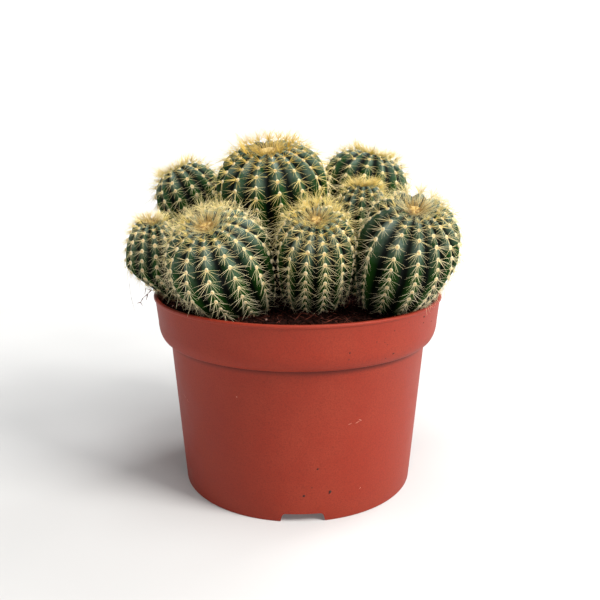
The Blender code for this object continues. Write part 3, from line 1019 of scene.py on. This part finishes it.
def make_wall_marks(name, marks, thickness, material, seed):
    """Flat marks stuck to the pot's wall; each is an angle, a height, a length, a width and a slant."""
    rng = random.Random(seed)
    bm = bmesh.new()
    for angle, height, length, width, slant in marks:
        turn = math.radians(angle)
        outward = Vector((math.cos(turn), math.sin(turn), 0.0))
        side = Vector((-outward.y, outward.x, 0.0))
        place = outward * outer_wall_radius(height) + Z_AXIS * height
        stand = Matrix((side, Z_AXIS, outward)).transposed().to_4x4()
        spin = Matrix.Rotation(math.radians(slant), 4, "Z")
        size = Matrix.Diagonal((MARK_FULLNESS * length, MARK_FULLNESS * width, thickness, 1.0))
        lump = make_lump(rng)
        append_copy(bm, lump, FROM_MM @ Matrix.Translation(place) @ stand @ spin @ size)
        bpy.data.meshes.remove(lump)
    finish_piece(name, bm, material, "pot_plastic")


def make_strands(name, strands, needle, material):
    """Thin strands, each a row of points in millimetres joined by tapering lengths."""
    bm = bmesh.new()
    for width, points in strands:
        for start, end in zip(points, points[1:]):
            run = Vector(end) - Vector(start)
            stand = needle_matrix(start, run.normalized(), width, run.length * STRAND_OVERLAP)
            append_copy(bm, needle, FROM_MM @ stand)
    finish_piece(name, bm, material, "peat")


def soil_height(x, y):
    """Height of the crumbly soil surface in millimetres at a place in millimetres."""
    reach = min(math.hypot(x, y) / SOIL_REACH, 1.0)
    mound = SOIL_CENTRE_Z + (SOIL_EDGE_Z - SOIL_CENTRE_Z) * reach**2
    coarse = noise.noise(Vector((x, y, 3.0)) / 14.0)
    fine = noise.noise(Vector((x, y, 9.0)) / 3.1)
    return mound + 0.9 * coarse + 0.7 * fine


def make_soil(material):
    """Body of soil filling the pot, with an uneven top."""
    floor_top = FLOOR_UNDERSIDE_Z + WALL
    edge = RIM_RADIUS - LIP_STAND_OUT - WALL - 2.2
    profile = [(0.0, floor_top + 0.3), (outer_body_radius(floor_top) - WALL - 0.9, floor_top + 0.3)]
    profile += [(BODY_TOP_RADIUS - WALL - 0.4, COLLAR_LOWER_Z - 1.0)]
    profile += collar_points(WALL + 0.5, 6)
    profile += [(edge * (SOIL_RINGS - ring) / SOIL_RINGS, SOIL_EDGE_Z) for ring in range(SOIL_RINGS)]
    profile += [(0.0, SOIL_EDGE_Z)]
    bm = revolve(profile, SOIL_SEGMENTS)
    for vert in bm.verts:
        if vert.co.z > (SOIL_EDGE_Z - 0.5) * MM:
            vert.co.z = soil_height(vert.co.x / MM, vert.co.y / MM) * MM
    finish_piece("peat_soil", bm, material, "peat", nodes=["potting_soil"])


def inside_a_stem(x, y, margin):
    """True where a stem's foot comes through the soil, so nothing lies there."""
    for stem in STEMS:
        for latitude in (-75.0, -60.0, -50.0):
            radius, height = stem_section(stem, math.radians(latitude))
            centre = place_on_axis(stem, 0.0, height, 0.0) / MM
            level = math.hypot(x - centre.x, y - centre.y)
            if centre.z < STEM_FOOT_TOP and level < radius + margin:
                return True
    return False


def scatter_on_soil(count, margin, rng):
    """Random places on the open soil, in millimetres."""
    reach = RIM_RADIUS - LIP_STAND_OUT - WALL - 3.0
    places = []
    while len(places) < count:
        spread = reach * math.sqrt(rng.random())
        angle = rng.uniform(-math.pi, math.pi)
        x, y = spread * math.cos(angle), spread * math.sin(angle)
        if not inside_a_stem(x, y, margin):
            places.append(Vector((x, y, soil_height(x, y))))
    return places


def make_lump(rng):
    """An angular crumb of unit size."""
    bm = bmesh.new()
    bmesh.ops.create_icosphere(bm, subdivisions=1, radius=0.5)
    for vert in bm.verts:
        vert.co *= rng.uniform(0.7, 1.2)
    return mesh_from(bm, "lump")


def random_turn(rng):
    axis = Vector((rng.uniform(-1, 1), rng.uniform(-1, 1), rng.uniform(-1, 1))).normalized()
    return Matrix.Rotation(rng.uniform(0.0, 2.0 * math.pi), 4, axis)


def make_crumbs(name, count, smallest, largest, material, seed):
    """Angular crumbs lying on the open soil, with widths in millimetres."""
    rng = random.Random(seed)
    lumps = [make_lump(rng) for _ in range(6)]
    bm = bmesh.new()
    for place in scatter_on_soil(count, 0.5, rng):
        width = rng.uniform(smallest, largest)
        stretch = Matrix.Diagonal((width, width * rng.uniform(0.6, 1.0), width * rng.uniform(0.5, 0.9), 1.0))
        rest = Matrix.Translation(place + Z_AXIS * 0.2 * width)
        matrix = FROM_MM @ rest @ random_turn(rng) @ stretch
        append_copy(bm, rng.choice(lumps), matrix)
    piece = finish_piece(name, bm, material, "peat")
    piece.data.polygons.foreach_set("use_smooth", [False] * len(piece.data.polygons))


def make_fibres(name, count, needle, material, seed):
    """Thin root fibres lying across the soil."""
    rng = random.Random(seed)
    bm = bmesh.new()
    for place in scatter_on_soil(count, 1.0, rng):
        turn = rng.uniform(0.0, 2.0 * math.pi)
        rise = rng.uniform(0.0, 0.45)
        direction = Vector((math.cos(turn), math.sin(turn), rise)).normalized()
        length = rng.uniform(3.0, 9.0)
        width = rng.uniform(0.12, 0.3)
        stand = needle_matrix(place + Z_AXIS * 0.3, direction, width, length)
        append_copy(bm, needle, FROM_MM @ stand)
    finish_piece(name, bm, material, "peat")


# ---------------------------------------------------------------- operators


class CACTUS_OT_add_pot(bpy.types.Operator):
    """Build the moulded nursery pot"""

    bl_idname = "cactus.add_pot"
    bl_label = "Pot"

    def execute(self, context):
        make_pot(moulded_polypropylene(context.scene.cactus_colours))
        dirt = dry_material("dried_peat_dust", "2E120C", "4A2015", 0.9, 900.0)
        make_wall_marks("dirt_specks", DIRT_SPECKS, 0.30, dirt, "dirt specks")
        scuffed = dry_material("scuffed_polypropylene", "B0614C", "CC8B78", 0.8, 900.0)
        make_wall_marks("pale_scuffs", PALE_SCUFFS, 0.07, scuffed, "pale scuffs")
        return {"FINISHED"}


class CACTUS_OT_add_soil(bpy.types.Operator):
    """Fill the pot with soil, crumbs, fibres and mineral grains"""

    bl_idname = "cactus.add_soil"
    bl_label = "Soil"

    def execute(self, context):
        seed = context.scene.cactus_sizes.seed
        peat = peat_crumb()
        make_soil(peat)
        make_crumbs("peat_crumbs", 1900, 0.8, 2.8, peat, f"{seed} crumbs")
        needle = make_needle()
        fibre = dry_material("root_fibre", "4E2014", "86402A", 0.9, 300.0)
        make_fibres("root_fibres", 420, needle, fibre, f"{seed} fibres")
        root = dry_material("dried_root", "5A2118", "8E4030", 0.8, 400.0)
        make_strands("hanging_root", HANGING_ROOT, needle, root)
        make_strands("loose_hair", LOOSE_HAIR, needle, fibre)
        grit = dry_material("pale_grit", "94695C", "C79F90", 0.8, 500.0)
        make_crumbs("pale_grit", 34, 0.9, 2.2, grit, f"{seed} grit")
        bpy.data.meshes.remove(needle)
        return {"FINISHED"}


class CACTUS_OT_add_skins(bpy.types.Operator):
    """Build each stem's ribbed skin"""

    bl_idname = "cactus.add_skins"
    bl_label = "Stem skins"

    def execute(self, context):
        skin = waxy_cactus_skin(context.scene.cactus_colours)
        for stem in STEMS:
            make_stem_skin(stem, context.scene.cactus_sizes, skin)
        return {"FINISHED"}


class CACTUS_OT_add_areoles(bpy.types.Operator):
    """Set a pad of wool at each areole along the ribs"""

    bl_idname = "cactus.add_areoles"
    bl_label = "Areoles"

    def execute(self, context):
        felt = areole_felt()
        for stem in STEMS:
            make_areole_pads(stem, context.scene.cactus_sizes, felt)
        return {"FINISHED"}


class CACTUS_OT_add_spines(bpy.types.Operator):
    """Grow a tuft of spines from each areole"""

    bl_idname = "cactus.add_spines"
    bl_label = "Spines"

    def execute(self, context):
        sizes = context.scene.cactus_sizes
        rng = random.Random(f"{sizes.seed} tufts")
        needle = make_needle()
        tufts = {}
        for kind, spread in SPREADS.items():
            tufts[kind] = [make_tuft(needle, spread, sizes, rng) for _ in range(TUFT_VARIANTS)]
        fibre = spine_fibre()
        for stem in STEMS:
            make_spines(stem, sizes, needle, tufts, fibre)
        for helper in [needle, *itertools.chain(*tufts.values())]:
            bpy.data.meshes.remove(helper)
        return {"FINISHED"}


class CACTUS_OT_add_crowns(bpy.types.Operator):
    """Lay the cushion of golden wool in each stem's crown"""

    bl_idname = "cactus.add_crowns"
    bl_label = "Crown wool"

    def execute(self, context):
        sizes = context.scene.cactus_sizes
        wool = crown_wool_fibre()
        needle = make_needle()
        for stem in STEMS:
            make_crown(stem, sizes, needle, wool)
        bpy.data.meshes.remove(needle)
        return {"FINISHED"}


def add_light(name, place, target, width, height, power, colour):
    """A rectangular soft light aimed at a point."""
    data = bpy.data.lights.new(name, "AREA")
    data.shape = "RECTANGLE"
    data.size = width
    data.size_y = height
    data.energy = power
    data.color = colour
    light = add_object(name, data)
    light.location = place
    beam = Vector(target) - Vector(place)
    light.rotation_euler = beam.to_track_quat("-Z", "Y").to_euler()
    light.visible_camera = False
    return light


class CACTUS_OT_add_stage(bpy.types.Operator):
    """Set the pale floor, the soft lights and the camera"""

    bl_idname = "cactus.add_stage"
    bl_label = "Stage"

    def execute(self, context):
        settings = context.scene.cactus_stage
        sweep = [(0.0, 0.0)] + arc(FLOOR_RADIUS, FLOOR_CURVE, FLOOR_CURVE, -90.0, 0.0, 16)
        bm = revolve(sweep, 96)
        bmesh.ops.reverse_faces(bm, faces=bm.faces[:])
        mesh = mesh_from(bm, "studio_floor")
        mesh.materials.append(glowing_white_paper())
        mesh.polygons.foreach_set("use_smooth", [True] * len(mesh.polygons))
        floor = add_object("studio_floor", mesh)
        for light in LIGHTS:
            add_light(*light)
        world = context.scene.world or bpy.data.worlds.new("World")
        context.scene.world = world
        world.use_nodes = True
        background = world.node_tree.nodes["Background"]
        background.inputs["Color"].default_value = (1.0, 1.0, 1.0, 1.0)
        background.inputs["Strength"].default_value = WORLD_STRENGTH
        camera_data = bpy.data.cameras.new("camera")
        camera_data.lens = settings.lens
        camera_data.sensor_width = 36.0
        camera = add_object("camera", camera_data)
        camera.location = (CAMERA_SIDE, -settings.camera_distance, settings.camera_height)
        camera.rotation_euler = (0.5 * math.pi - settings.camera_pitch, 0.0, 0.0)
        context.scene.camera = camera
        context.scene.view_settings.view_transform = "Standard"
        return {"FINISHED"}


class CACTUS_PT_panel(bpy.types.Panel):
    """Sizes, colours and pieces of the potted cactus"""

    bl_label = "Potted cactus"
    bl_idname = "CACTUS_PT_panel"
    bl_space_type = "VIEW_3D"
    bl_region_type = "UI"
    bl_category = "Cactus"

    def draw(self, context):
        for group in (context.scene.cactus_sizes, context.scene.cactus_colours, context.scene.cactus_stage):
            column = self.layout.column()
            for name in group.__annotations__:
                column.prop(group, name)
        for operator in OPERATORS:
            self.layout.operator(operator.bl_idname)


OPERATORS = (
    CACTUS_OT_add_pot,
    CACTUS_OT_add_soil,
    CACTUS_OT_add_skins,
    CACTUS_OT_add_areoles,
    CACTUS_OT_add_spines,
    CACTUS_OT_add_crowns,
    CACTUS_OT_add_stage,
)
CLASSES = (CactusPlantSizes, CactusColours, CactusStageSettings, *OPERATORS, CACTUS_PT_panel)


def register():
    for item in CLASSES:
        bpy.utils.register_class(item)
    bpy.types.Scene.cactus_sizes = PointerProperty(type=CactusPlantSizes)
    bpy.types.Scene.cactus_colours = PointerProperty(type=CactusColours)
    bpy.types.Scene.cactus_stage = PointerProperty(type=CactusStageSettings)


def unregister():
    del bpy.types.Scene.cactus_stage
    del bpy.types.Scene.cactus_colours
    del bpy.types.Scene.cactus_sizes
    for item in reversed(CLASSES):
        bpy.utils.unregister_class(item)


def main():
    register()
    bpy.ops.cactus.add_pot()
    bpy.ops.cactus.add_soil()
    bpy.ops.cactus.add_skins()
    bpy.ops.cactus.add_areoles()
    bpy.ops.cactus.add_spines()
    bpy.ops.cactus.add_crowns()
    bpy.ops.cactus.add_stage()


if __name__ == "__main__":
    main()
